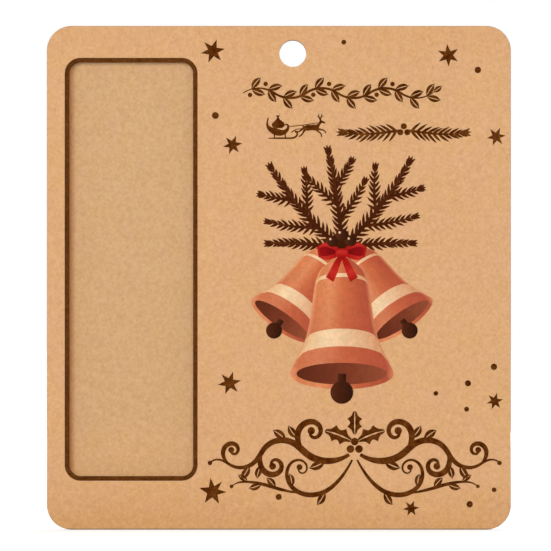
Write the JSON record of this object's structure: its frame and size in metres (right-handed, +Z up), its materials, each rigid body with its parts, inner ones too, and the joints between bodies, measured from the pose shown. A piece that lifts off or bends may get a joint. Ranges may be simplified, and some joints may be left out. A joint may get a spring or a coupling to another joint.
{
  "type": "money holder ornament",
  "caption": "Flat hanging ornament of bonded fibreboard panels, with a tall shallow pocket beside an engraved and printed face that holds a folded banknote.",
  "frame": {"origin": "centre of the hanging hole, midway through the thickness", "axes": "+Z up as it hangs, +X to the right seen from the front, -Y out of the front face"},
  "size_m": [0.0936, 0.0068, 0.1016],
  "materials": {
    "fibreboard": "matt kraft-coloured fibreboard with fine flecks, browned where the laser cut or engraved it",
    "rear_fibreboard": "matt fibreboard, a little darker and greyer than the face",
    "adhesive_film": "thin amber double-sided adhesive film"
  },
  "bodies": {
    "root": {"front_panel": "fibreboard", "back_panel": "rear_fibreboard", "bond_sheet": "adhesive_film"}
  },
  "joints": []
}
